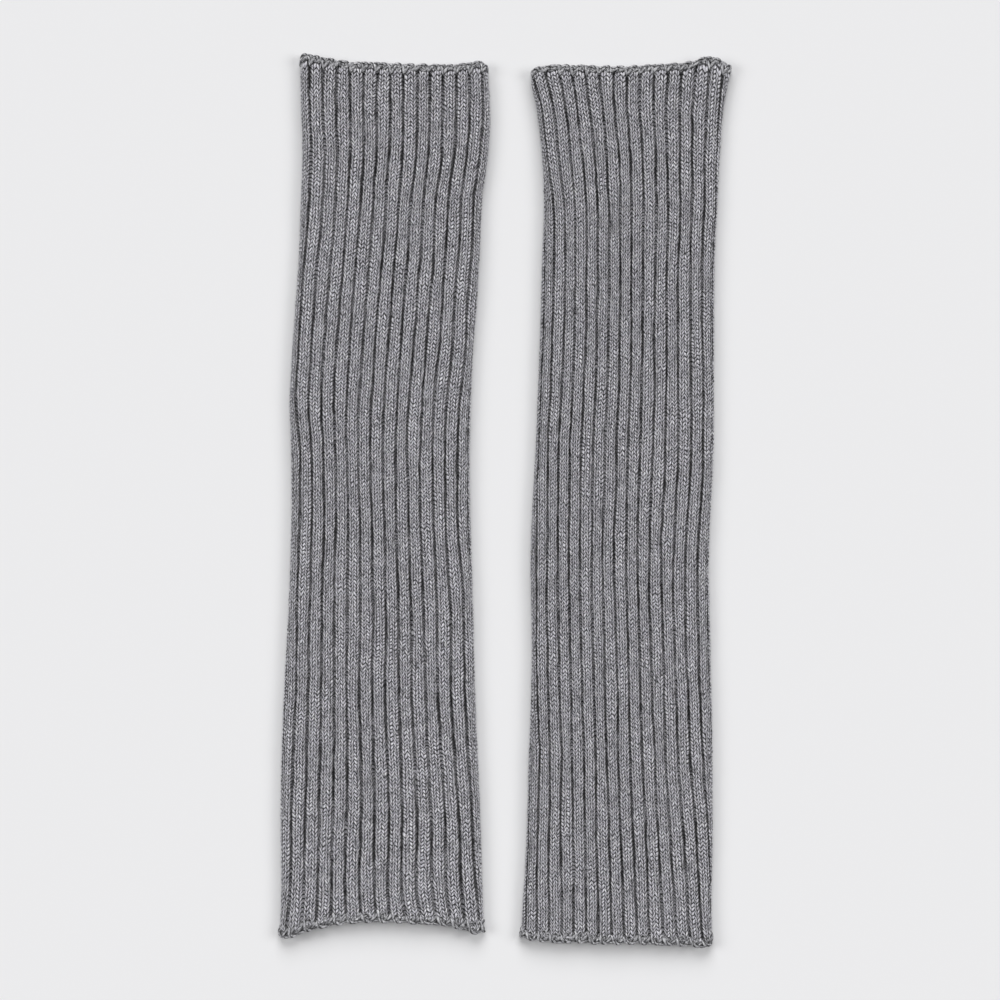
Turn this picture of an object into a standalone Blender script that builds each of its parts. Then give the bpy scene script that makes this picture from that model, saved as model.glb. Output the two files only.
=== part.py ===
"""A pair of ribbed knit leg warmers, laid flat side by side.

Each one is a single tube of 2x2 rib, open at both ends. Flattened, its upper panel lies on its lower one,
with a fold down each side. The outer surface carries the ribs over the top and round the folds, the hollow
inside is plain, and the underside is flat where it rests. Lengths here are in millimetres. X runs across the
pair, and Y up its length.
"""

from collections import namedtuple
from math import pi

import bpy
import numpy as np

MM = 0.001

# The knitted wall
WALL = 3.0
GROOVE_DEPTH = 1.6
PANEL_GAP = 0.5
FOLD_RADIUS = WALL + PANEL_GAP / 2
FADE_FROM, FADE_TO = 2.0, 0.3  # heights between which the ribs die out towards the floor

# The open ends
GAPE = 0.8  # how far the upper panel lifts off the lower one
GAPE_REACH = 32.0
EDGE_REACH = 55.0  # how far into the tube the rows follow the shape of its end
LOOP_RISE = 0.8  # how far the edge's loops stand out past its grooves
LOOP_REACH = 4.0
MID_WALL = 2.2  # depth of the rolled edge's tip below the crowns

# The pair's outline
TOP_LINE = 224.847  # Y of the line that the tables' distances run down from
PAIR_MIDDLE = -0.11  # X of the pair's middle line, in the tables' own X

# How finely the solids are drawn
BODY_RINGS = 17
FIRST_BODY_RING = 14.0
UNDERSIDE_POINTS = 6
HOLLOW_POINTS = 4

RibPoint = namedtuple("RibPoint", "across sunk")
RIB = [
    RibPoint(0.00, 1.0),
    RibPoint(0.10, 0.3),
    RibPoint(0.32, 0.0),
    RibPoint(0.68, 0.0),
    RibPoint(0.90, 0.3),
]

# The rolled edge of an open end: how far back from the tip, and how far turned in to the middle of the wall
EdgeRing = namedtuple("EdgeRing", "back turned")
EDGE = [EdgeRing(0.2, 1.0), EdgeRing(0.0, 0.5), EdgeRing(0.8, 0.12), EdgeRing(2.5, 0.0)]

# The eye that the hollow ends in at each fold: how far in from its tip, and half its height there
EyePoint = namedtuple("EyePoint", "inward half_height")
EYE_TIP = 0.5
EYE = [
    EyePoint(0.0, 0.0),
    EyePoint(0.3, 0.4),
    EyePoint(0.9, 0.5),
    EyePoint(3.0, 0.35),
    EyePoint(7.0, PANEL_GAP / 2),
]

# One row for each section down a tube: its two folds, and its first, seventh and thirteenth grooves
Section = namedtuple("Section", "down left right groove_0 groove_6 groove_12")
# The shape of the open ends: how far the top rises above its line, and the bottom drops below its own
EndPoint = namedtuple("EndPoint", "across rise drop")
Tube = namedtuple("Tube", "name first_rib last_rib sections ends")

LEFT = Tube(
    "left_leg_warmer",
    first_rib=-2,
    last_rib=15,
    sections=[
        Section(5.0, -102.75, -8.5, -97.25, -57.0, -18.0),
        Section(25.0, -102.5, -7.0, -97.5, -57.25, -17.5),
        Section(50.0, -101.75, -7.75, -96.5, -57.5, -18.5),
        Section(75.0, -102.5, -11.0, -97.5, -59.5, -22.0),
        Section(100.0, -103.25, -12.0, -99.5, -61.0, -23.0),
        Section(125.0, -105.0, -13.5, -101.5, -63.0, -25.0),
        Section(150.0, -106.75, -15.5, -103.0, -65.0, -26.5),
        Section(175.0, -108.0, -16.5, -104.25, -66.5, -29.0),
        Section(200.0, -107.25, -17.25, -102.0, -67.0, -30.0),
        Section(225.0, -107.0, -17.0, -102.0, -66.5, -30.0),
        Section(275.0, -108.5, -15.5, -103.5, -66.0, -27.5),
        Section(325.0, -111.0, -14.25, -104.5, -66.0, -26.5),
        Section(375.0, -112.5, -12.0, -106.5, -65.0, -23.5),
        Section(425.0, -112.5, -10.5, -108.0, -65.0, -21.0),
        Section(437.25, -113.0, -10.0, -109.5, -64.0, -19.5),
    ],
    ends=[
        EndPoint(0.00, 3.0, 6.0),
        EndPoint(0.03, 4.5, 8.0),
        EndPoint(0.08, 3.75, 6.25),
        EndPoint(0.16, 2.25, 3.5),
        EndPoint(0.27, 0.5, 1.0),
        EndPoint(0.45, 0.0, -0.5),
        EndPoint(0.65, -0.75, 0.0),
        EndPoint(0.80, -1.0, 1.0),
        EndPoint(0.90, 0.0, 3.75),
        EndPoint(0.96, 0.5, 5.5),
        EndPoint(1.00, -1.75, 4.5),
    ],
)

RIGHT = Tube(
    "right_leg_warmer",
    first_rib=-3,
    last_rib=15,
    sections=[
        Section(6.5, 13.0, 113.5, 13.5, 54.0, 95.0),
        Section(12.0, 12.75, 112.5, 14.0, 54.0, 94.75),
        Section(25.0, 15.0, 110.0, 17.5, 54.5, 93.75),
        Section(50.0, 17.75, 107.75, 20.75, 56.5, 93.5),
        Section(75.0, 19.0, 106.5, 24.0, 57.5, 93.5),
        Section(100.0, 18.25, 105.25, 24.5, 57.5, 92.5),
        Section(150.0, 16.75, 104.75, 23.5, 57.0, 92.5),
        Section(200.0, 14.75, 104.5, 21.5, 55.5, 92.5),
        Section(250.0, 12.25, 102.25, 21.0, 54.5, 90.0),
        Section(300.0, 13.0, 103.0, 21.0, 55.5, 90.5),
        Section(350.0, 11.5, 104.0, 22.5, 56.5, 92.5),
        Section(400.0, 10.0, 104.0, 22.0, 58.0, 96.0),
        Section(425.0, 8.5, 103.5, 22.0, 59.0, 97.5),
        Section(447.25, 7.5, 104.0, 22.0, 59.5, 99.0),
    ],
    ends=[
        EndPoint(0.00, -2.5, -3.0),
        EndPoint(0.04, -0.5, -2.0),
        EndPoint(0.12, 0.5, -1.0),
        EndPoint(0.30, 0.0, -0.25),
        EndPoint(0.45, -0.25, 0.25),
        EndPoint(0.60, 0.5, 0.25),
        EndPoint(0.70, 1.0, 0.5),
        EndPoint(0.80, 2.25, 1.0),
        EndPoint(0.90, 4.75, 1.5),
        EndPoint(0.95, 3.0, 2.0),
        EndPoint(1.00, -0.25, 0.0),
    ],
)


def column(rows, name):
    return np.array([getattr(row, name) for row in rows], dtype=float)


def smooth_line(places, knots, values):
    """A smooth line through the values at the knots, read at the places."""
    slopes = np.gradient(values, knots)
    i = np.clip(np.searchsorted(knots, places) - 1, 0, len(knots) - 2)
    span = knots[i + 1] - knots[i]
    u = np.clip((places - knots[i]) / span, 0.0, 1.0)
    from_left = (1 + 2 * u) * (1 - u) ** 2 * values[i] + u * (1 - u) ** 2 * span * slopes[i]
    from_right = u**2 * (3 - 2 * u) * values[i + 1] - u**2 * (1 - u) * span * slopes[i + 1]
    return from_left + from_right


def ease(value):
    """0 up to 0, 1 from 1, and a smooth step between."""
    value = np.clip(value, 0.0, 1.0)
    return value * value * (3 - 2 * value)


def outline(way, flat):
    """X, height and the outward X and Z of the flattened tube's outline.

    way is the distance round it from the middle of its top. flat is half the width of its flat part, and a
    fold of FOLD_RADIUS closes each side.
    """
    side, way = np.sign(way), np.abs(way)
    turn = np.clip((way - flat) / FOLD_RADIUS, 0.0, pi)
    under = np.maximum(way - flat - pi * FOLD_RADIUS, 0.0)
    x = np.minimum(way, flat) + FOLD_RADIUS * np.sin(turn) - under
    height = FOLD_RADIUS * (1 + np.cos(turn))
    return side * x, height, side * np.sin(turn), np.cos(turn)


def way_round(x, flat):
    """The distance round the outline of a point that shows from above at x."""
    past = np.clip((np.abs(x) - flat) / FOLD_RADIUS, 0.0, 1.0)
    return np.sign(x) * (np.minimum(np.abs(x), flat) + FOLD_RADIUS * np.arcsin(past))


def section(tube, down):
    """One section's middle, half its flat width, and the places round its outline of the three grooves."""
    rows = tube.sections
    read = {
        name: smooth_line(down, column(rows, "down"), column(rows, name))
        for name in Section._fields[1:]
    }
    middle = (read["left"] + read["right"]) / 2
    flat = (read["right"] - read["left"]) / 2 - FOLD_RADIUS
    grooves = [way_round(read[name] - middle, flat) for name in Section._fields[3:]]
    return middle, flat, grooves


def rib_places(ribs, grooves):
    """Where each rib number lies round the outline.

    It is a parabola through grooves 0, 6 and 12, and a straight line past them.
    """
    start, centre, end = grooves
    slope = (end - start) / 12
    bend = (start + end - 2 * centre) / 72
    inside = np.clip(ribs, 0, 12)
    across = inside - 6
    past = ribs - inside
    return centre + slope * across + bend * across**2 + past * (slope + 2 * bend * across)


def end_lines(tube, across):
    """How far the top rises and the bottom drops, at each place across the tube."""
    knots = column(tube.ends, "across")
    return [smooth_line(across, knots, column(tube.ends, name)) for name in ("rise", "drop")]


def end_shape(tube, down, x, height, half_width, loops):
    """How far the shape of the ends moves the points of a section up the tube, and how far it lifts them.

    loops is 1 where an edge loop stands out, and 0 in the groove between two.
    """
    top, bottom = tube.sections[0].down, tube.sections[-1].down
    from_top, from_bottom = down - top, bottom - down
    rise, drop = end_lines(tube, np.clip(0.5 + x / (2 * half_width), 0.0, 1.0))
    up = rise * np.clip(1 - from_top / EDGE_REACH, 0.0, 1.0) ** 2
    up -= drop * np.clip(1 - from_bottom / EDGE_REACH, 0.0, 1.0) ** 2
    up -= LOOP_RISE * (1 - loops) * ease(1 - from_top / LOOP_REACH)
    up += LOOP_RISE * (1 - loops) * ease(1 - from_bottom / LOOP_REACH)
    gape = GAPE * (ease(1 - from_top / GAPE_REACH) + ease(1 - from_bottom / GAPE_REACH))
    lift = gape * np.clip(1 - (x / half_width) ** 2, 0.0, 1.0) * (height > FOLD_RADIUS)
    return up, lift


def outer_ring(tube, down, turned):
    """One ring of the ribbed outside. turned says how far its wall is turned in, at the rolled edge."""
    middle, flat, grooves = section(tube, down)
    ribs = np.array([
        number + point.across
        for number in range(tube.first_rib, tube.last_rib)
        for point in RIB
    ])
    sunk = np.tile(column(RIB, "sunk"), tube.last_rib - tube.first_rib)
    ribbed = rib_places(ribs, grooves)
    round_it = 2 * (2 * flat + pi * FOLD_RADIUS)
    plain = np.linspace(ribbed[-1], ribbed[0] + round_it, UNDERSIDE_POINTS + 2)[1:-1]
    way = np.concatenate([ribbed, plain])
    way = way - round_it * np.round(way / round_it)
    sunk = np.concatenate([sunk, np.zeros(UNDERSIDE_POINTS)])

    x, height, out_x, out_z = outline(way, flat)
    sunk = sunk * ease((height - FADE_TO) / (FADE_FROM - FADE_TO))
    depth = GROOVE_DEPTH * sunk * (1 - turned) + MID_WALL * turned
    up, lift = end_shape(tube, down, x, height, flat + FOLD_RADIUS, 1 - sunk)
    return np.stack([
        middle + x - out_x * depth - PAIR_MIDDLE,
        TOP_LINE - down + up,
        height - out_z * depth + lift,
    ], axis=1)


def hollow_ring(tube, down):
    """One ring of the plain inside: a thin slot that ends in a small eye at each fold."""
    middle, flat, _ = section(tube, down)
    reach = flat + EYE_TIP
    inward, half_height = column(EYE, "inward"), column(EYE, "half_height")
    between = np.linspace(inward[-1] - reach, reach - inward[-1], HOLLOW_POINTS + 2)[1:-1]
    x = np.concatenate([inward - reach, between, (reach - inward)[::-1]])
    half = np.concatenate([half_height, np.full(HOLLOW_POINTS, PANEL_GAP / 2), half_height[::-1]])
    x = np.concatenate([x, x[-2:0:-1]])
    height = FOLD_RADIUS + np.concatenate([half, -half[-2:0:-1]])
    up, lift = end_shape(tube, down, x, height, flat + FOLD_RADIUS, 0.0)
    return np.stack([middle + x - PAIR_MIDDLE, TOP_LINE - down + up, height + lift], axis=1)


def side_by_side(ring, other):
    """Faces between two rings with the same number of points."""
    i = np.arange(len(ring))
    j = np.roll(i, -1)
    return np.stack([ring[i], other[i], other[j], ring[j]], axis=1).tolist()


def turn_of(points):
    """Each point's place round its ring: -1 to 1 over the top from fold to fold, and on to 3 below."""
    x, z = points[:, 0], points[:, 2]
    across = 2 * (x - x.min()) / (x.max() - x.min()) - 1
    below = z < (z[x.argmin()] + z[x.argmax()]) / 2
    return np.where(below, 2 - across, across)


def close_end(points, outer, inner):
    """Triangles from the rolled edge's ring to the hollow's, with both rings walked round in step."""
    rings = []
    for ring in (outer, inner):
        turn = turn_of(points[ring])
        first = int(turn.argmin())
        rings.append((np.roll(ring, -first), np.roll(turn, -first)))
    (a, turn_a), (b, turn_b) = rings
    i = j = 0
    faces = []
    while i < len(a) or j < len(b):
        next_a = turn_a[i + 1] if i + 1 < len(a) else 3.0
        next_b = turn_b[j + 1] if j + 1 < len(b) else 3.0
        if j == len(b) or (i < len(a) and next_a <= next_b):
            faces.append((a[i], a[(i + 1) % len(a)], b[j % len(b)]))
            i += 1
        else:
            faces.append((a[i % len(a)], b[(j + 1) % len(b)], b[j]))
            j += 1
    return faces


def knit_grey():
    material = bpy.data.materials.new("grey_knit")
    material.use_nodes = True
    shader = material.node_tree.nodes["Principled BSDF"]
    shader.inputs["Base Color"].default_value = (0.21, 0.21, 0.22, 1.0)
    shader.inputs["Roughness"].default_value = 0.95
    return material


def make_tube(tube, material):
    """The closed solid of one tube: outside, hollow, and the two rolled edges that join them."""
    top, bottom = tube.sections[0].down, tube.sections[-1].down
    body = np.linspace(top + FIRST_BODY_RING, bottom - FIRST_BODY_RING, BODY_RINGS)
    outside = [outer_ring(tube, top + edge.back, edge.turned) for edge in EDGE]
    outside += [outer_ring(tube, down, 0.0) for down in body]
    outside += [outer_ring(tube, bottom - edge.back, edge.turned) for edge in reversed(EDGE)]
    hollow = [hollow_ring(tube, down) for down in (top + EDGE[2].back, *body, bottom - EDGE[2].back)]

    points = np.concatenate(outside + hollow)
    numbers = np.arange(len(points))
    outer_count, inner_count = len(outside[0]), len(hollow[0])
    outer = numbers[: len(outside) * outer_count].reshape(len(outside), outer_count)
    inner = numbers[len(outside) * outer_count :].reshape(len(hollow), inner_count)

    faces = []
    for ring, other in zip(outer[:-1], outer[1:]):
        faces += side_by_side(ring, other)
    for ring, other in zip(inner[:-1], inner[1:]):
        faces += side_by_side(other, ring)
    faces += close_end(points, outer[0], inner[0])
    faces += [tuple(reversed(face)) for face in close_end(points, outer[-1], inner[-1])]

    mesh = bpy.data.meshes.new(tube.name)
    mesh.from_pydata((points * MM).tolist(), [], [[int(n) for n in face] for face in faces])
    mesh.materials.append(material)
    mesh.shade_smooth()
    mesh.set_sharp_from_angle(angle=1.0)
    mesh.update()
    bpy.context.scene.collection.objects.link(bpy.data.objects.new(tube.name, mesh))


def main():
    for thing in list(bpy.data.objects):
        bpy.data.objects.remove(thing, do_unlink=True)
    material = knit_grey()
    for tube in (LEFT, RIGHT):
        make_tube(tube, material)


main()
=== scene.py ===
"""The looks of a pair of ribbed knit leg warmers, laid flat side by side on a pale surface.

Every stitch of the 2x2 rib is in the mesh. A tube is a front and a back panel, parted in a groove at each
fold, and each open end has a rolled edge and two strands that loop along it. Lengths are in millimetres until
a mesh is made. X runs across the pair and Y up its length. A panel's own measures are ribs round the tube and
rows down it.
"""

from collections import namedtuple
from math import pi

import bpy
import numpy as np
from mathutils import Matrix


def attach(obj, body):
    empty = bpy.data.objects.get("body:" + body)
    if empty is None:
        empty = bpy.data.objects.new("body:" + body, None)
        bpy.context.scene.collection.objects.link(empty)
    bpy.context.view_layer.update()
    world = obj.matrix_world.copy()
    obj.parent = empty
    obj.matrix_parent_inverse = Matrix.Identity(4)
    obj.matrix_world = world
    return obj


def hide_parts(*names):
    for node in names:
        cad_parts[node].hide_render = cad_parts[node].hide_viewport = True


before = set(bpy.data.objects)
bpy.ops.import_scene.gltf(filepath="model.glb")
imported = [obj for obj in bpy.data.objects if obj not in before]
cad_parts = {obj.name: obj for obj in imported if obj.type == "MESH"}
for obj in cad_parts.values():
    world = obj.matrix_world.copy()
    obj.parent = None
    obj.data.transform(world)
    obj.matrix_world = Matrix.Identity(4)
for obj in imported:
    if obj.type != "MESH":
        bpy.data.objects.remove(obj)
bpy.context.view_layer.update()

MM = 0.001

# The knitted wall
RIBS_ROUND = 30
PANEL_RIBS = 15
ROWS = 232
WALL = 3.0
PANEL_GAP = 0.5
FOLD_RADIUS = WALL + PANEL_GAP / 2
EYE = 0.6  # how much wider the hollow is at the folds
CHEVRON = 1.18  # how many rows a leg of a stitch slants down
CREST = 0.56  # where a row's crest lies between two dips
PARTING = 0.012  # how far a panel's border keeps from the middle of its groove, in ribs
NEAR_GROOVE = 0.14  # how far from a groove its sides still move with it, in ribs
DEEPEST = 2.45
INNER_ROWS = 47  # mesh lines across the plain inner face

# The open ends
GAPE = 0.8  # how far the upper panel lifts off the lower one
GAPE_REACH = 32.0
EDGE_REACH = 55.0  # how far into the tube the rows follow the shape of its end
EDGE_BACK = 1.3  # how far the first row lies back from the end
NARROWING = 0.9  # how much wider the grooves get at the ends
NARROWING_ROWS = 3.0
LEVEL_ROWS = 2.5  # how many rows it takes for the slants to begin
ROLL_RADIUS = 1.4

# Where the pair lies
TOP_LINE = 224.847
PAIR_MIDDLE = -0.11

# One column of the mesh across a rib: its place, how deep it lies, how deep the dip between two rows is, how
# far the stitch slants down there, and its number of legs from the groove
Column = namedtuple("Column", "across depth dip slant leg")
RIB = [
    Column(0.000, 2.30, 0.10, 0.00, 0.00),
    Column(0.070, 1.70, 0.30, 0.00, 0.36),
    Column(0.118, 0.65, 0.50, 0.14, 0.62),
    Column(0.190, 0.08, 0.56, 0.49, 1.00),
    Column(0.292, 0.70, 0.36, 1.00, 1.50),
    Column(0.398, 0.05, 0.56, 0.49, 2.00),
    Column(0.500, 0.78, 0.34, 0.00, 2.50),
    Column(0.602, 0.05, 0.56, 0.49, 3.00),
    Column(0.708, 0.70, 0.36, 1.00, 3.50),
    Column(0.810, 0.08, 0.56, 0.49, 4.00),
    Column(0.882, 0.65, 0.50, 0.14, 4.38),
    Column(0.930, 1.70, 0.30, 0.00, 4.64),
]
LEGS = 5

# One kind of unevenness: its size, the ribs and rows from one random value to the next, and what is added to
# the tube's seed
Uneven = namedtuple("Uneven", "size rib_step row_step seed")
WANDER = [Uneven(0.055, 1.0, 14.0, 0), Uneven(0.030, 0.5, 4.0, 1)]
OPEN_UP = [Uneven(0.30, 1.0, 9.0, 2), Uneven(0.34, 1.0, 3.0, 12)]
SHUFFLE = [Uneven(0.022, 0.2, 1.0, 13)]
LOOSE = [Uneven(1.0, 0.25, 1.0, 5)]
SLACK = [Uneven(1.0, 0.5, 3.0, 6)]
LEAN = [Uneven(0.45, 3.0, 24.0, 3), Uneven(0.22, 0.5, 2.0, 4)]
TILT = [Uneven(1.5, 1.0, 7.0, 9)]
SWING = [Uneven(1.0, 1.0, 14.0, 15)]
TALL = [Uneven(0.25, 1.0, 5.0, 10)]

# One section down a tube: its two folds, and its first, seventh and thirteenth grooves
Section = namedtuple("Section", "down left right groove_0 groove_6 groove_12")
# The shape of the open ends: how far the top rises above its line, and the bottom drops below its own
EndPoint = namedtuple("EndPoint", "across rise drop")
# A soft ridge, or a trough where its rise is below 0, on the upper panel
Crease = namedtuple("Crease", "across down turn length width rise")
Tube = namedtuple("Tube", "name low_rib high_rib seed sections ends creases")

LEFT = Tube(
    "left",
    low_rib=-2,
    high_rib=15,
    seed=11,
    sections=[
        Section(5.0, -102.75, -8.5, -97.25, -57.0, -18.0),
        Section(25.0, -102.5, -7.0, -97.5, -57.25, -17.5),
        Section(50.0, -101.75, -7.75, -96.5, -57.5, -18.5),
        Section(75.0, -102.5, -11.0, -97.5, -59.5, -22.0),
        Section(100.0, -103.25, -12.0, -99.5, -61.0, -23.0),
        Section(125.0, -105.0, -13.5, -101.5, -63.0, -25.0),
        Section(150.0, -106.75, -15.5, -103.0, -65.0, -26.5),
        Section(175.0, -108.0, -16.5, -104.25, -66.5, -29.0),
        Section(200.0, -107.25, -17.25, -102.0, -67.0, -30.0),
        Section(225.0, -107.0, -17.0, -102.0, -66.5, -30.0),
        Section(275.0, -108.5, -15.5, -103.5, -66.0, -27.5),
        Section(325.0, -111.0, -14.25, -104.5, -66.0, -26.5),
        Section(375.0, -112.5, -12.0, -106.5, -65.0, -23.5),
        Section(425.0, -112.5, -10.5, -108.0, -65.0, -21.0),
        Section(435.25, -113.0, -10.0, -109.5, -64.0, -19.5),
    ],
    ends=[
        EndPoint(0.00, 3.0, 6.0),
        EndPoint(0.03, 4.5, 8.0),
        EndPoint(0.08, 3.75, 6.25),
        EndPoint(0.16, 2.25, 3.5),
        EndPoint(0.27, 0.5, 1.0),
        EndPoint(0.45, 0.0, -0.5),
        EndPoint(0.65, -0.75, 0.0),
        EndPoint(0.80, -1.0, 1.0),
        EndPoint(0.90, 0.0, 3.75),
        EndPoint(0.96, 0.5, 5.5),
        EndPoint(1.00, -1.75, 4.5),
    ],
    creases=[
        Crease(0.28, 62.0, 0.2, 46.0, 9.0, -0.35),
        Crease(0.72, 96.0, -0.3, 52.0, 11.0, 0.45),
        Crease(0.22, 128.0, 0.9, 34.0, 8.0, -0.45),
        Crease(0.80, 176.0, 0.5, 40.0, 10.0, -0.40),
        Crease(0.45, 214.0, -0.1, 70.0, 13.0, 0.40),
        Crease(0.70, 262.0, 0.2, 48.0, 10.0, -0.35),
        Crease(0.25, 300.0, -0.2, 58.0, 12.0, 0.30),
        Crease(0.62, 352.0, 1.1, 30.0, 9.0, -0.40),
        Crease(0.35, 398.0, 0.1, 44.0, 10.0, 0.35),
    ],
)

RIGHT = Tube(
    "right",
    low_rib=-3,
    high_rib=15,
    seed=29,
    sections=[
        Section(6.5, 13.0, 113.5, 13.5, 54.0, 95.0),
        Section(12.0, 12.75, 112.5, 14.0, 54.0, 94.75),
        Section(25.0, 15.0, 110.0, 17.5, 54.5, 93.75),
        Section(50.0, 17.75, 107.75, 20.75, 56.5, 93.5),
        Section(75.0, 19.0, 106.5, 24.0, 57.5, 93.5),
        Section(100.0, 18.25, 105.25, 24.5, 57.5, 92.5),
        Section(150.0, 16.75, 104.75, 23.5, 57.0, 92.5),
        Section(200.0, 14.75, 104.5, 21.5, 55.5, 92.5),
        Section(250.0, 12.25, 102.25, 21.0, 54.5, 90.0),
        Section(300.0, 13.0, 103.0, 21.0, 55.5, 90.5),
        Section(350.0, 11.5, 104.0, 22.5, 56.5, 92.5),
        Section(400.0, 10.0, 104.0, 22.0, 58.0, 96.0),
        Section(425.0, 8.5, 103.5, 22.0, 59.0, 97.5),
        Section(445.25, 7.5, 104.0, 22.0, 59.5, 99.0),
    ],
    ends=[
        EndPoint(0.00, -2.5, -3.0),
        EndPoint(0.04, -0.5, -2.0),
        EndPoint(0.12, 0.5, -1.0),
        EndPoint(0.30, 0.0, -0.25),
        EndPoint(0.45, -0.25, 0.25),
        EndPoint(0.60, 0.5, 0.25),
        EndPoint(0.70, 1.0, 0.5),
        EndPoint(0.80, 2.25, 1.0),
        EndPoint(0.90, 4.75, 1.5),
        EndPoint(0.95, 3.0, 2.0),
        EndPoint(1.00, -0.25, 0.0),
    ],
    creases=[
        Crease(0.30, 48.0, -0.5, 40.0, 10.0, -0.35),
        Crease(0.66, 84.0, 0.3, 50.0, 10.0, 0.35),
        Crease(0.85, 118.0, 0.8, 30.0, 8.0, -0.40),
        Crease(0.38, 160.0, 0.0, 66.0, 12.0, 0.40),
        Crease(0.72, 205.0, 0.4, 44.0, 9.0, -0.35),
        Crease(0.86, 248.0, -0.3, 46.0, 8.0, 0.45),
        Crease(0.30, 262.0, 0.6, 36.0, 10.0, -0.35),
        Crease(0.55, 318.0, -0.1, 60.0, 13.0, 0.35),
        Crease(0.62, 372.0, 1.0, 34.0, 9.0, -0.40),
        Crease(0.25, 410.0, 0.1, 40.0, 10.0, 0.30),
    ],
)

# A strand that loops along an open end: where its loops' tops lie in a rib, how far its loops reach back, the
# power that shapes them, its curl in ribs, its radius, its depth at the loops' tops, how much deeper their
# feet are, how far it strays back from the end, and what is added to the tube's seed
Strand = namedtuple("Strand", "name share reach power curl radius depth sink back seed")
ARCHES = Strand("arches", 0.5, 4.0, 1.1, 0.05, 0.80, 0.45, 0.50, 0.25, 21)
LINKS = Strand("links", 0.0, 2.6, 1.0, 0.05, 0.76, 1.00, 0.50, 0.60, 24)
CURLS = Strand("curls", 0.0, 3.6, 1.2, 0.32, 0.64, 1.25, -1.05, 1.00, 27)

# One finish of the yarn: its middle and light tones, how dark the painted shade in the gaps between its rows
# and legs is, how much of that falls between legs, how dark the painted shade in the grooves between ribs is,
# and its relief's height in metres
Finish = namedtuple("Finish", "name middle light gap legs groove relief")
KNIT = Finish("heathered_rib_knit", (0.725, 0.715, 0.785), (1.0, 1.0, 1.0), 0.98, 1.0, 0.69, 0.0007)
TOP_ROLL = Finish("heathered_top_roll", (0.34, 0.34, 0.36), (0.68, 0.68, 0.70), 0.90, 0.8, 0.0, 0.0007)
# The cast-on roll has the yarn's tones darkened as painted shade, for the dark holes behind the bottom loops
BOTTOM_ROLL_IN_PAINTED_SHADE = Finish("heathered_bottom_roll", (0.15, 0.15, 0.16), (0.38, 0.38, 0.39), 0.90, 0.8, 0.0, 0.0007)
TOP_LOOPS = Finish("heathered_top_loops", (0.36, 0.36, 0.38), (0.78, 0.78, 0.80), 0.85, 0.0, 0.0, 0.0006)
BOTTOM_LOOPS = Finish("heathered_bottom_loops", TOP_ROLL.middle, TOP_ROLL.light, 0.85, 0.0, 0.0, 0.0006)
DARK = (0.042, 0.04, 0.046)


def column(rows, name):
    """One named measure of all the rows, as an array."""
    return np.array([getattr(row, name) for row in rows], dtype=float)


def smooth_line(places, knots, values):
    """A smooth line through the values at the knots, read at the places.

    Between two knots it is the cubic that has each knot's value and mean slope.
    """
    slopes = np.gradient(values, knots)
    i = np.clip(np.searchsorted(knots, places) - 1, 0, len(knots) - 2)
    span = knots[i + 1] - knots[i]
    u = np.clip((places - knots[i]) / span, 0.0, 1.0)
    from_left = (1 + 2 * u) * (1 - u) ** 2 * values[i] + u * (1 - u) ** 2 * span * slopes[i]
    from_right = u**2 * (3 - 2 * u) * values[i + 1] - u**2 * (1 - u) * span * slopes[i + 1]
    return from_left + from_right


def ease(value):
    """0 up to 0, 1 from 1, and 3v2 - 2v3 between."""
    value = np.clip(value, 0.0, 1.0)
    return value * value * (3 - 2 * value)


def unevenness(ribs, rows, rib_step, row_step, seed):
    """A smooth random surface from -1 to 1 over the tube.

    A random value stands at each point of a lattice of rib_step by row_step, closed round the tube, and the
    surface eases from each to the next.
    """
    count = max(2, round(RIBS_ROUND / rib_step))
    lattice = np.random.default_rng(seed).uniform(-1, 1, (int(ROWS / row_step) + 3, count))
    across, down = ribs * count / RIBS_ROUND, rows / row_step
    i, j = np.floor(down).astype(int), np.floor(across).astype(int)
    v, u = ease(down - i), ease(across - j)
    i = np.clip(i, 0, len(lattice) - 2)
    near, far = j % count, (j + 1) % count
    upper = lattice[i, near] * (1 - u) + lattice[i, far] * u
    lower = lattice[i + 1, near] * (1 - u) + lattice[i + 1, far] * u
    return upper * (1 - v) + lower * v


def uneven(tube, ribs, rows, kinds):
    """The sum of several kinds of unevenness, each times its size."""
    return sum(
        kind.size * unevenness(ribs, rows, kind.rib_step, kind.row_step, tube.seed + kind.seed)
        for kind in kinds
    )


def outline(way, flat):
    """X, height, the outward X and Z, and the turn round the fold, of the flattened tube's outline.

    way is the distance round it from the middle of its top. It runs flat for half a width, then round a half
    circle of FOLD_RADIUS, then back flat along the underside.
    """
    side, way = np.sign(way), np.abs(way)
    turn = np.clip((way - flat) / FOLD_RADIUS, 0.0, pi)
    under = np.maximum(way - flat - pi * FOLD_RADIUS, 0.0)
    x = np.minimum(way, flat) + FOLD_RADIUS * np.sin(turn) - under
    return side * x, FOLD_RADIUS * (1 + np.cos(turn)), side * np.sin(turn), np.cos(turn), turn


def way_round(x, flat):
    """The distance round the outline of a point that shows from above at x."""
    past = np.clip((np.abs(x) - flat) / FOLD_RADIUS, 0.0, 1.0)
    return np.sign(x) * (np.minimum(np.abs(x), flat) + FOLD_RADIUS * np.arcsin(past))


def section(tube, down):
    """A section's middle, half its flat width, and where its three measured grooves lie round its outline."""
    rows = tube.sections
    read = {
        name: smooth_line(down, column(rows, "down"), column(rows, name))
        for name in Section._fields[1:]
    }
    middle = (read["left"] + read["right"]) / 2
    flat = (read["right"] - read["left"]) / 2 - FOLD_RADIUS
    grooves = [way_round(read[name] - middle, flat) for name in Section._fields[3:]]
    return middle, flat, grooves


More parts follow.
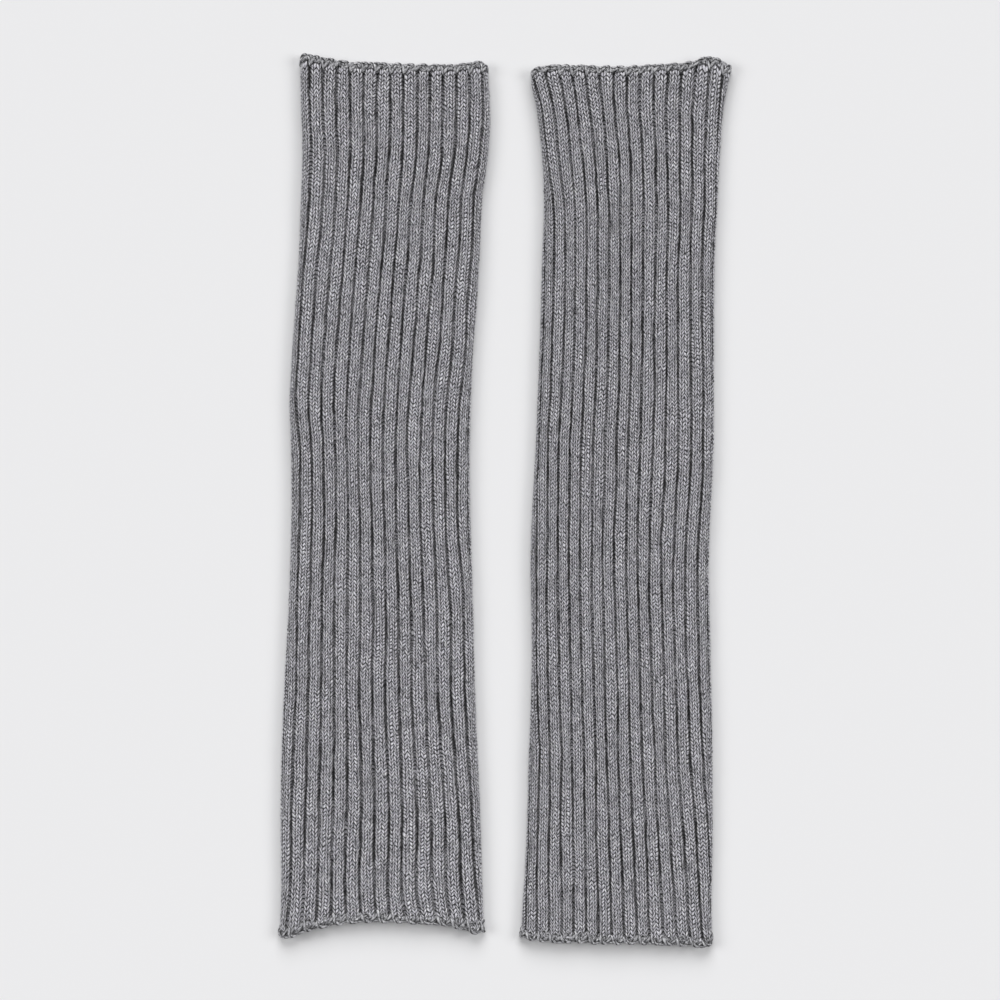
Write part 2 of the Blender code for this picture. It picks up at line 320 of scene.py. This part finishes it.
def upper_places(ribs, grooves):
    """Where rib numbers lie round the outline: a parabola through grooves 0, 6 and 12, straight past them."""
    start, centre, end = grooves
    slope = (end - start) / 12
    bend = (start + end - 2 * centre) / 72
    inside = np.clip(ribs, 0, 12)
    across = inside - 6
    return centre + slope * across + bend * across**2 + (ribs - inside) * (slope + 2 * bend * across)


def rib_places(tube, ribs, flat, grooves):
    """As upper_places, and evenly spread along the underside, between the last measured rib and the first."""
    round_it = 2 * (2 * flat + pi * FOLD_RADIUS)
    low, high = upper_places(tube.low_rib, grooves), upper_places(tube.high_rib, grooves)
    ribs = tube.low_rib + (ribs - tube.low_rib) % RIBS_ROUND
    under = (ribs - tube.high_rib) / (tube.low_rib + RIBS_ROUND - tube.high_rib)
    way = np.where(
        ribs <= tube.high_rib, upper_places(ribs, grooves), high + under * (low + round_it - high)
    )
    return way - round_it * np.round(way / round_it)


def end_shape(tube, down, x, height, half_width):
    """How far the shape of the ends moves points up the tube, and how far the open ends gape."""
    top, bottom = tube.sections[0].down, tube.sections[-1].down
    from_top, from_bottom = down - top, bottom - down
    across = np.clip(0.5 + x / (2 * half_width), 0.0, 1.0)
    knots = column(tube.ends, "across")
    rise, drop = (smooth_line(across, knots, column(tube.ends, name)) for name in ("rise", "drop"))
    up = rise * np.clip(1 - from_top / EDGE_REACH, 0.0, 1.0) ** 2
    up -= drop * np.clip(1 - from_bottom / EDGE_REACH, 0.0, 1.0) ** 2
    gape = GAPE * (ease(1 - from_top / GAPE_REACH) + ease(1 - from_bottom / GAPE_REACH))
    lift = gape * np.clip(1 - (x / half_width) ** 2, 0.0, 1.0) * (height > FOLD_RADIUS)
    return up, lift


def crease_lift(tube, x, down, height, half_width):
    """The soft ridges and troughs of the upper panel, each a bell along its length and across its width."""
    lift = np.zeros(np.broadcast(x, down).shape)
    for crease in tube.creases:
        along_x = x - (2 * crease.across - 1) * half_width
        along_y = down - crease.down
        along = along_y * np.cos(crease.turn) + along_x * np.sin(crease.turn)
        aside = along_x * np.cos(crease.turn) - along_y * np.sin(crease.turn)
        lift += crease.rise * np.exp(-((along / crease.length * 2) ** 2) - (aside / crease.width) ** 2)
    inside = np.clip(1 - (x / half_width) ** 4, 0.0, 1.0)
    return lift * inside * (height > FOLD_RADIUS)


def cloth_points(tube, ribs, down, depth_of):
    """Points at a rib number, a distance down and a depth under the crowns, and the outward directions there.

    depth_of gives the depth from the turn round the fold.
    """
    middle, flat, grooves = section(tube, down)
    way = rib_places(tube, ribs, flat, grooves)
    x, height, out_x, out_z, turn = outline(way, flat)
    depth = depth_of(turn)
    half_width = flat + FOLD_RADIUS
    up, lift = end_shape(tube, down, x, height, half_width)
    lift = lift + crease_lift(tube, x, down, height, half_width)
    points = middle + x - out_x * depth - PAIR_MIDDLE, TOP_LINE - down + up, height - out_z * depth + lift
    outward = out_x, 0.0 * depth, out_z
    return np.stack(np.broadcast_arrays(*points), axis=-1), np.stack(np.broadcast_arrays(*outward), axis=-1)


def above_floor(points):
    """The points, with those below the floor moved up to it."""
    return points * (1, 1, 0) + np.maximum(points, 0.0) * (0, 0, 1)


def down_of(tube, rows):
    """How far down the tube a row of stitches lies."""
    top, bottom = tube.sections[0].down + EDGE_BACK, tube.sections[-1].down - EDGE_BACK
    return top + (bottom - top) * rows / ROWS


def stitch_grid(tube, first):
    """The outer face of a panel: every leg of every knit stitch, and the grooves between the ribs.

    A mesh line runs down in each column of the RIB table, and two lines run across for each row of stitches,
    one along the dip above the row and one along its crest. Both slant down towards the middle of each
    stitch, so that its two legs make a V, and the slant leans, tilts and varies. The depth is the column's
    own, plus its dip on the dip's line. The columns wander, and those beside a groove open and close it.
    """
    number = np.arange(PANEL_RIBS * len(RIB) + 1)
    rib, place = number // len(RIB), number % len(RIB)
    across, depth, dip, slant, leg = (column(RIB, name)[place] for name in Column._fields)
    line = np.arange(2 * ROWS + 1)[:, None]
    crest = line % 2
    rows = line // 2 + crest * CREST
    from_groove = across - np.round(across)
    ribs = first + rib + across

    wander = uneven(tube, ribs, rows, WANDER)
    open_up = uneven(tube, ribs, rows, OPEN_UP)
    loose = uneven(tube, ribs, rows, LOOSE)
    slack = uneven(tube, ribs, rows, SLACK)
    near_groove = np.exp(-((from_groove / NEAR_GROOVE) ** 2))
    jagged = 0.25 * (1 - 2 * crest) + 0.30 * loose
    narrowed = NARROWING * (2 - ease(rows / NARROWING_ROWS) - ease((ROWS - rows) / NARROWING_ROWS))
    ribs = ribs + wander + (open_up + jagged + narrowed) * from_groove * near_groove
    ribs = ribs + uneven(tube, ribs, rows, SHUFFLE)
    ribs[:, 0], ribs[:, -1] = first + PARTING, first + PANEL_RIBS - PARTING

    level = ease(rows / LEVEL_ROWS) * ease((ROWS - rows) / LEVEL_ROWS)
    lean = uneven(tube, ribs, rows, LEAN)
    tilt = uneven(tube, first + rib, rows, TILT) + 2.4 * uneven(tube, first + rib, rows, SWING) ** 3
    tall = 1 + uneven(tube, ribs, rows, TALL)
    down = down_of(tube, rows + level * (CHEVRON * slant * tall + lean + tilt * (across - 0.5)))

    deep = depth * (1 + 0.12 * slack) + 0.13 * (1 + loose)
    deep = deep + (1 - crest) * dip * (1 + 0.50 * slack)
    deep = np.minimum(deep, DEEPEST)
    points = above_floor(cloth_points(tube, ribs, down, lambda turn: deep)[0])
    knit = np.stack(np.broadcast_arrays((first + rib) * LEGS + leg, line / 2), axis=-1)
    return points, knit


def inner_grid(tube, first):
    """The plain inner face of a panel: WALL under the crowns, with the fold's eye widened by EYE."""
    ribs = first + np.linspace(PARTING, PANEL_RIBS - PARTING, 4 * PANEL_RIBS + 1)
    rows = np.linspace(0, ROWS, INNER_ROWS)[:, None]
    points = cloth_points(tube, ribs[None, :], down_of(tube, rows), lambda turn: WALL - EYE * np.sin(turn))[0]
    points = above_floor(points)
    knit = np.stack(np.broadcast_arrays(ribs * LEGS, rows), axis=-1)
    return points, knit


def grid_corners(grid):
    """The four corners of each face between two lines and two columns, of a grid of numbers or of places."""
    corners = grid[:-1, :-1], grid[1:, :-1], grid[1:, 1:], grid[:-1, 1:]
    return np.stack(corners, axis=2).reshape(-1, 4, *grid.shape[2:])


def sheet_grid(shape, left, right):
    """Even places for a grid's points on the flat sheet, from 0 to 1, that keeps its colours."""
    places = np.linspace(left, right, shape[1]), np.linspace(0.01, 0.99, shape[0])[:, None]
    return np.stack(np.broadcast_arrays(*places), axis=-1)


def strip_corners(places, other_places):
    """Triangles between two lines of points, going on along whichever has its next place first.

    The other line's points are numbered on from the first line's.
    """
    steps = np.concatenate([places[1:], other_places[1:]])
    on_other = np.arange(len(steps)) >= len(places) - 1
    on_other = on_other[np.argsort(steps, kind="stable")]
    i, j = np.cumsum(~on_other), np.cumsum(on_other) + len(places)
    return np.stack([np.where(on_other, j - 1, i - 1), i, j], axis=1)


def grid_part(numbers, knit, left, right):
    """A grid's faces, with each corner's places in the knitting and on the sheet."""
    return grid_corners(numbers), grid_corners(knit), grid_corners(sheet_grid(numbers.shape, left, right))


def strip_part(numbers, knit, left):
    """The same for a strip between two lines of points, given as pairs."""
    places = [np.linspace(0.01, 0.99, len(line)) for line in numbers]
    corners = strip_corners(*places)
    sheet = [np.stack([np.full(len(line), left + 0.008 * k), line], axis=1) for k, line in enumerate(places)]
    return [np.concatenate(pair)[corners] for pair in (numbers, knit, sheet)]


def turned(part):
    """The part with its faces turned round."""
    return [corners[:, ::-1] for corners in part]


def mesh_piece(name, points, parts, material):
    """A smooth mesh from points in millimetres, and parts of faces with their corners' places on two maps."""
    mesh = bpy.data.meshes.new(name)
    mesh.from_pydata((points * MM).tolist(), [], [face for part in parts for face in part[0].tolist()])
    for map_name, k in (("knit", 1), ("OFBake", 2)):
        corners = np.concatenate([part[k].reshape(-1, 2) for part in parts])
        mesh.uv_layers.new(name=map_name).data.foreach_set("uv", corners.astype(np.float32).ravel())
    mesh.materials.append(material)
    mesh.shade_smooth()
    mesh.update()
    piece = bpy.data.objects.new(name, mesh)
    bpy.context.scene.collection.objects.link(piece)
    return piece


def knit_panel(tube, side, first, material):
    """One half of a tube, as a closed wall with its stitches outside.

    Its parts are the upper and lower half of the outer face, the inner face turned round, and strips that
    join their four borders.
    """
    points, knit = stitch_grid(tube, first)
    inner_points, inner_knit = inner_grid(tube, first)
    numbers = np.arange(knit[..., 0].size).reshape(knit.shape[:2])
    inner = numbers.size + np.arange(inner_knit[..., 0].size).reshape(inner_knit.shape[:2])
    half = slice(ROWS + 1), slice(ROWS, None)
    parts = [
        grid_part(numbers[half[0]], knit[half[0]], 0.005, 0.450),
        grid_part(numbers[half[1]], knit[half[1]], 0.460, 0.905),
        turned(grid_part(inner, inner_knit, 0.915, 0.945)),
        strip_part((numbers[0], inner[0]), (knit[0], inner_knit[0]), 0.955),
        turned(strip_part((numbers[-1], inner[-1]), (knit[-1], inner_knit[-1]), 0.966)),
        turned(strip_part((numbers[:, 0], inner[:, 0]), (knit[:, 0], inner_knit[:, 0]), 0.977)),
        strip_part((numbers[:, -1], inner[:, -1]), (knit[:, -1], inner_knit[:, -1]), 0.988),
    ]
    all_points = np.concatenate([points.reshape(-1, 3), inner_points.reshape(-1, 3)])
    return mesh_piece(f"{tube.name}_{side}_panel", all_points, parts, material)


def rolled_edge(tube, end, material):
    """The thick rolled edge of an open end: a closed ring along the middle of the wall, knitted as a cord.

    Four legs stand round the cord's section, two to a stitch, and its rows follow each other along the edge.
    Its radius swells as half a sine over each leg, dips between rows, and swells from each groove to the next
    rib's tip.
    """
    rows_round, legs_round, leg_parts = 100, 4, 4
    line = np.arange(2 * rows_round)[None, :]
    leg = (np.arange(legs_round * leg_parts) / leg_parts)[:, None]
    slant = 1 - np.abs(leg % 2 - 1)
    rows = line / 2 + 0.8 * slant
    ribs = tube.low_rib + rows * RIBS_ROUND / rows_round
    rough = unevenness(ribs, 0 * ribs, 0.5, 1.0, tube.seed + 7)
    relief = 0.10 * np.abs(np.sin(pi * leg)) - 0.09 * (line % 2 == 0) + 0.05 * rough
    swell = ROLL_RADIUS * (0.52 + relief + 0.46 * np.abs(np.sin(pi * ribs)) ** 0.7)
    around = leg * 2 * pi / legs_round + 0.3 + pi / 4
    down = from_end(tube, end, ROLL_RADIUS + 0.8 - swell * np.cos(around))
    points = cloth_points(tube, ribs, down, lambda turn: WALL / 2 - swell * np.sin(around))[0]
    legs, rows = np.arange(legs_round * leg_parts + 1) / leg_parts, np.arange(2 * rows_round + 1) / 2
    knit = np.stack(np.broadcast_arrays(legs[:, None] + 0.5, rows), axis=-1)
    return ring_piece(f"{tube.name}_{end}_roll", points, knit, end == "cast_on", material)


def edge_loops(tube, end, strand, material):
    """One of the two strands that loop along an open end, once a rib.

    Its distance back from the end eases from 0 at the top of a loop to the strand's reach at its feet, as 1
    less |cos| of half the way along a loop, raised to a power. A sine of the whole way, times its curl,
    carries it along the edge and back, so that a strand with a large curl closes into ovals. The same sine
    lifts it over at one crossing and takes it under at the next. Its section is two plies wound round each
    other.
    """
    loops, per_loop, round_section, twists = RIBS_ROUND, 20, 12, 3
    t = np.arange(loops * per_loop) / per_loop
    ribs = tube.low_rib + t + strand.share
    rough = unevenness(ribs, np.zeros(1), 0.9, 1.0, tube.seed + strand.seed)
    across = unevenness(ribs, np.zeros(1), 0.55, 1.0, tube.seed + strand.seed + 10)
    curled = unevenness(ribs, np.zeros(1), 1.4, 1.0, tube.seed + strand.seed + 20)
    foot = 1 - np.abs(np.cos(pi * t)) ** strand.power
    radius = strand.radius
    back = radius * 0.8 + strand.reach * (1 + 0.30 * across) * foot + strand.back * (1 + rough)
    depth = strand.depth + 0.15 * across + 0.30 * np.sin(2 * pi * t) + strand.sink * foot**3
    down = from_end(tube, end, back)
    ribs = ribs + strand.curl * (1 + 0.5 * curled) * np.sin(2 * pi * t) + 0.12 * across
    centre, outward = cloth_points(tube, ribs, down, lambda turn: depth)
    along = np.roll(centre, -1, axis=0) - np.roll(centre, 1, axis=0)
    along /= np.linalg.norm(along, axis=-1, keepdims=True)
    outward -= np.sum(outward * along, axis=-1, keepdims=True) * along
    outward /= np.linalg.norm(outward, axis=-1, keepdims=True)
    aside = np.cross(along, outward)
    around = (np.arange(round_section) * 2 * pi / round_section)[:, None]
    wound = around - pi * twists * t
    ply = radius * (1 + 0.13 * np.cos(2 * wound)) * (1 + 0.12 * rough)
    points = centre + (ply * np.cos(around))[..., None] * outward + (ply * np.sin(around))[..., None] * aside
    turns = np.arange(round_section + 1)[:, None] * 2 / round_section
    loops_on = np.arange(t.size + 1) / per_loop
    knit = np.stack(np.broadcast_arrays(LEGS * loops_on, turns - twists * loops_on + 0.5), axis=-1)
    return ring_piece(f"{tube.name}_{end}_{strand.name}", points, knit, False, material)


def from_end(tube, end, back):
    """How far down the tube a place lies that is the given distance back from an open end."""
    return tube.sections[0].down + back if end == "bound_off" else tube.sections[-1].down - back


def ring_piece(name, points, knit, turn_round, material):
    """A ring closed both ways, from a grid of its sections' points by their places along it.

    The knit places have one line and one column more, for the faces that close it.
    """
    numbers = np.arange(points[..., 0].size).reshape(points.shape[:2])
    part = grid_part(np.pad(numbers, (0, 1), mode="wrap"), knit, 0.01, 0.99)
    if turn_round:
        part = turned(part)
    return mesh_piece(name, above_floor(points).reshape(-1, 3), [part], material)


def add_node(tree, kind, inputs=(), **settings):
    """A node with its settings, and its inputs set to values or joined to other nodes' sockets."""
    node = tree.nodes.new("ShaderNode" + kind)
    for name, value in settings.items():
        setattr(node, name, value)
    for name, value in dict(inputs).items():
        socket = node.inputs[name]
        if isinstance(value, bpy.types.NodeSocket):
            tree.links.new(value, socket)
        else:
            socket.default_value = value
    return node


def arithmetic(tree, operation, first, second=0.0, third=0.0):
    """A Math node's result."""
    node = add_node(tree, "Math", {0: first, 1: second, 2: third}, operation=operation)
    return node.outputs[0]


def ramp(tree, value, low, high, to_low=0.0, to_high=1.0):
    """A value eased from low to high onto to_low to to_high."""
    inputs = {"Value": value, "From Min": low, "From Max": high, "To Min": to_low, "To Max": to_high}
    return add_node(tree, "MapRange", inputs, interpolation_type="SMOOTHSTEP").outputs["Result"]


def mix_colours(tree, factor, first, second):
    """The first colour at 0 and the second at 1."""
    return add_node(tree, "Mix", {0: factor, 6: first, 7: second}, data_type="RGBA").outputs[2]


def off_whole(tree, value):
    """How far a value is from the nearest whole number, from 0 to 0.5."""
    return arithmetic(tree, "PINGPONG", value, 0.5)


def noise(tree, leg, row, leg_scale, row_scale, detail, roughness=0.5, layer=None):
    """A noise over legs and rows, each times its own scale, and with a layer given, over that too."""
    place = {
        "X": arithmetic(tree, "MULTIPLY", leg, leg_scale),
        "Y": arithmetic(tree, "MULTIPLY", row, row_scale),
        "Z": 0.0 if layer is None else layer,
    }
    place = add_node(tree, "CombineXYZ", place).outputs[0]
    inputs = {"Vector": place, "Scale": 1.0, "Detail": detail, "Roughness": roughness}
    return add_node(tree, "TexNoise", inputs, noise_dimensions="2D" if layer is None else "3D").outputs


def swung(tree, value, amount, base):
    """The base, plus an amount times how far a noise's value is from its middle."""
    return arithmetic(tree, "MULTIPLY_ADD", arithmetic(tree, "SUBTRACT", value, 0.5), amount, base)


def heathered_yarn_and_painted_shade_group():
    """Colour and height of mottled yarn, from its place in the knitting.

    Place is legs across and rows down. Each leg of a stitch is a rounded strand between two half legs and two
    whole rows, whose borders waver. Fibres streak along it, its plies wind round it, and each strand has its
    own share of light and dark fibre. Painted shade darkens the gaps between strands, and their corners more.
    The groove between ribs gets the darkest painted shade, in some places sharply and in others softly.
    """
    tree = bpy.data.node_groups.new("heathered_yarn", "ShaderNodeTree")
    for name, kind, value in (
        ("Place", "NodeSocketVector", None),
        ("Dark", "NodeSocketColor", (0.03, 0.03, 0.033, 1)),
        ("Middle", "NodeSocketColor", (0.17, 0.17, 0.18, 1)),
        ("Light", "NodeSocketColor", (0.6, 0.6, 0.61, 1)),
        ("Gap", "NodeSocketFloat", 0.5),
        ("Legs", "NodeSocketFloat", 1.0),
        ("Groove", "NodeSocketFloat", 0.5),
    ):
        socket = tree.interface.new_socket(name, in_out="INPUT", socket_type=kind)
        if value is not None:
            socket.default_value = value
    for name, kind in (("Color", "NodeSocketColor"), ("Height", "NodeSocketFloat")):
        tree.interface.new_socket(name, in_out="OUTPUT", socket_type=kind)
    given = tree.nodes.new("NodeGroupInput").outputs
    result = tree.nodes.new("NodeGroupOutput").inputs

    place = add_node(tree, "SeparateXYZ", {0: given["Place"]}).outputs
    leg, row = place["X"], place["Y"]
    strand = arithmetic(tree, "FLOOR", arithmetic(tree, "ADD", leg, 0.5))
    row_number = arithmetic(tree, "FLOOR", row)
    wobble = add_node(tree, "SeparateXYZ", {0: noise(tree, leg, row, 0.45, 0.35, 2.0)["Color"]}).outputs
    wavy_leg = swung(tree, wobble["X"], 0.55, leg)
    wavy_row = swung(tree, wobble["Y"], 0.9, row)
    from_gap = off_whole(tree, wavy_row)
    from_middle = off_whole(tree, wavy_leg)
    from_groove = off_whole(tree, arithmetic(tree, "DIVIDE", leg, LEGS))
    from_groove = arithmetic(tree, "MULTIPLY", from_groove, LEGS)

    cell = add_node(tree, "CombineXYZ", {"X": strand, "Y": row_number, "Z": 0.37}).outputs[0]
    own_share = add_node(tree, "TexWhiteNoise", {"Vector": cell}, noise_dimensions="3D").outputs["Value"]
    patch = noise(tree, leg, row, 0.5, 0.4, 2.0)[0]
    layer = arithmetic(tree, "MULTIPLY", own_share, 9.0)
    fibre = noise(tree, leg, row, 2.0, 3.6, 3.0, 0.7, layer)[0]

    share = arithmetic(tree, "MULTIPLY_ADD", own_share, 0.24, -0.12)
    share = swung(tree, patch, 0.12, share)
    share = swung(tree, fibre, 3.0, share)
    lightness = arithmetic(tree, "ADD", share, 0.5)
    darker = mix_colours(tree, ramp(tree, lightness, 0.0, 0.5), given["Dark"], given["Middle"])
    yarn = mix_colours(tree, ramp(tree, lightness, 0.5, 1.0), darker, given["Light"])

    # Painted shade: the gaps between rows and between legs darken the yarn, and their corners more; the same
    # two masks also lower the bump's height
    between_rows = ramp(tree, from_gap, 0.06, 0.27, 1.0, 0.0)
    between_legs = arithmetic(tree, "MULTIPLY", ramp(tree, from_middle, 0.28, 0.5), given["Legs"])
    between_legs = arithmetic(tree, "MULTIPLY", between_legs, ramp(tree, wobble["Z"], 0.36, 0.54, 0.45, 1.08))
    painted_corner_shade = arithmetic(tree, "MULTIPLY", between_rows, ramp(tree, from_middle, 0.20, 0.45))
    gap = arithmetic(tree, "MAXIMUM", between_legs, arithmetic(tree, "MULTIPLY", between_rows, 0.90))
    gap = arithmetic(tree, "MINIMUM", arithmetic(tree, "MULTIPLY_ADD", painted_corner_shade, 0.80, gap), 1.1)
    # Painted shade in the groove between ribs: stronger or weaker with a noise, with a soft tail beside it,
    # and fading over the first and last two rows
    pinch = noise(tree, leg, row, 0.07, 0.06, 4.0, 0.65)[0]
    groove = swung(tree, wobble["Y"], 0.9, from_groove)
    groove = ramp(tree, groove, 0.14, 0.72, 1.0, 0.0)
    groove = arithmetic(tree, "MULTIPLY", groove, ramp(tree, pinch, 0.34, 0.64, 0.40, 1.20))
    groove = arithmetic(tree, "ADD", groove, ramp(tree, from_groove, 0.50, 1.60, 0.20, 0.0))
    groove = arithmetic(tree, "MULTIPLY", groove, ramp(tree, row, 0.2, 2.0))
    groove = arithmetic(tree, "MULTIPLY", groove, ramp(tree, row, ROWS - 2.0, ROWS - 0.2, 1.0, 0.0))
    # The painted shade of the gaps and the grooves scales the yarn's colour, never below 4 percent
    shade = arithmetic(tree, "SUBTRACT", 1.0, arithmetic(tree, "MULTIPLY", gap, given["Gap"]))
    groove_shade = arithmetic(tree, "SUBTRACT", 1.0, arithmetic(tree, "MULTIPLY", groove, given["Groove"]))
    shade = arithmetic(tree, "MAXIMUM", arithmetic(tree, "MULTIPLY", shade, groove_shade), 0.04)
    shaded = add_node(tree, "VectorMath", {0: yarn, "Scale": shade}, operation="SCALE")
    tree.links.new(shaded.outputs[0], result["Color"])

    ply = arithmetic(tree, "MULTIPLY", arithmetic(tree, "MULTIPLY_ADD", row, 3.0, leg), 2 * pi)
    ply = arithmetic(tree, "SINE", ply)
    height = arithmetic(tree, "SUBTRACT", 1.0, arithmetic(tree, "MULTIPLY", between_rows, 0.6))
    height = arithmetic(tree, "MULTIPLY_ADD", between_legs, -0.5, height)
    height = arithmetic(tree, "MULTIPLY_ADD", ply, 0.08, height)
    height = arithmetic(tree, "MULTIPLY_ADD", fibre, 0.5, height)
    tree.links.new(height, result["Height"])
    return tree


def yarn_material(yarn, finish):
    """Matt wool: the mottled yarn's colour and height over a rough shader with a soft sheen."""
    material = bpy.data.materials.new(finish.name)
    material.use_nodes = True
    tree = material.node_tree
    shader = tree.nodes["Principled BSDF"]
    shader.inputs["Roughness"].default_value = 0.92
    shader.inputs["Specular IOR Level"].default_value = 0.15
    shader.inputs["Sheen Weight"].default_value = 0.38
    shader.inputs["Sheen Roughness"].default_value = 0.5
    place = add_node(tree, "UVMap", uv_map="knit")
    group = tree.nodes.new("ShaderNodeGroup")
    group.node_tree = yarn
    tree.links.new(place.outputs[0], group.inputs["Place"])
    for socket, tone in (("Dark", DARK), ("Middle", finish.middle), ("Light", finish.light)):
        group.inputs[socket].default_value = (*tone, 1)
    # How dark the painted shade in the gaps and in the grooves is
    for socket, value in (("Gap", finish.gap), ("Legs", finish.legs), ("Groove", finish.groove)):
        group.inputs[socket].default_value = value
    height = {"Height": group.outputs["Height"], "Distance": finish.relief, "Strength": 1.0}
    bump = add_node(tree, "Bump", height)
    tree.links.new(group.outputs["Color"], shader.inputs["Base Color"])
    tree.links.new(bump.outputs[0], shader.inputs["Normal"])
    return material


def plain_floor():
    """The pale surface, as one wide flat sheet just under the pair."""
    reach, height = 40.0, -0.0002
    mesh = bpy.data.meshes.new("floor")
    corners = [(x * reach, y * reach, height) for x, y in ((-1, -1), (1, -1), (1, 1), (-1, 1))]
    mesh.from_pydata(corners, [], [(0, 1, 2, 3)])
    material = bpy.data.materials.new("pale_paper")
    material.use_nodes = True
    shader = material.node_tree.nodes["Principled BSDF"]
    shader.inputs["Base Color"].default_value = (0.80, 0.80, 0.81, 1)
    shader.inputs["Roughness"].default_value = 0.9
    shader.inputs["Specular IOR Level"].default_value = 0.1
    mesh.materials.append(material)
    floor = bpy.data.objects.new("floor", mesh)
    bpy.context.scene.collection.objects.link(floor)


def soft_light(name, place, spread, strength):
    """A broad distant light that shines from a place towards the middle of the pair, spread over an angle."""
    lamp = bpy.data.lights.new(name, "SUN")
    lamp.angle = np.radians(spread)
    lamp.energy = strength
    light = bpy.data.objects.new(name, lamp)
    light.location = place
    across, along, up = place
    light.rotation_euler = (np.arctan2(np.hypot(across, along), up), 0, np.arctan2(across, -along))
    bpy.context.scene.collection.objects.link(light)


def light_and_camera():
    """Soft studio light, broadest from beyond the top of the pair, and a camera straight above."""
    soft_light("key", (0.0, 1.25, 1.07), 42.0, 2.02)
    soft_light("left_fill", (-1.12, 0.15, 1.0), 32.0, 1.05)
    soft_light("right_fill", (1.12, 0.15, 1.0), 32.0, 1.05)
    world = bpy.context.scene.world or bpy.data.worlds.new("room")
    bpy.context.scene.world = world
    world.use_nodes = True
    background = world.node_tree.nodes["Background"]
    background.inputs["Color"].default_value = (1, 1, 1, 1)
    background.inputs["Strength"].default_value = 0.18

    camera = bpy.data.cameras.new("camera")
    height, view_width = 2.0, 0.5
    camera.sensor_width = 36.0
    camera.lens = camera.sensor_width * height / view_width
    camera.clip_end = 50.0
    holder = bpy.data.objects.new("camera", camera)
    holder.location = (-0.0024, 0.0013, height)
    bpy.context.scene.collection.objects.link(holder)
    bpy.context.scene.camera = holder
    bpy.context.scene.view_settings.view_transform = "Standard"


def dress_tube(tube, wool):
    """A tube's two panels and the edges of its open ends, on the one body, in place of its plain solid."""
    pieces = [
        knit_panel(tube, "front", -1, wool[KNIT]),
        knit_panel(tube, "back", PANEL_RIBS - 1, wool[KNIT]),
        rolled_edge(tube, "bound_off", wool[TOP_ROLL]),
        rolled_edge(tube, "cast_on", wool[BOTTOM_ROLL_IN_PAINTED_SHADE]),
        edge_loops(tube, "bound_off", ARCHES, wool[TOP_LOOPS]),
        edge_loops(tube, "bound_off", LINKS, wool[TOP_LOOPS]),
        edge_loops(tube, "cast_on", ARCHES, wool[BOTTOM_LOOPS]),
        edge_loops(tube, "cast_on", CURLS, wool[BOTTOM_LOOPS]),
    ]
    for piece in pieces:
        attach(piece, "root")
        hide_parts(f"{tube.name}_leg_warmer")


def main():
    yarn = heathered_yarn_and_painted_shade_group()
    finishes = (KNIT, TOP_ROLL, BOTTOM_ROLL_IN_PAINTED_SHADE, TOP_LOOPS, BOTTOM_LOOPS)
    wool = {finish: yarn_material(yarn, finish) for finish in finishes}
    for tube in (LEFT, RIGHT):
        dress_tube(tube, wool)
    plain_floor()
    light_and_camera()


main()
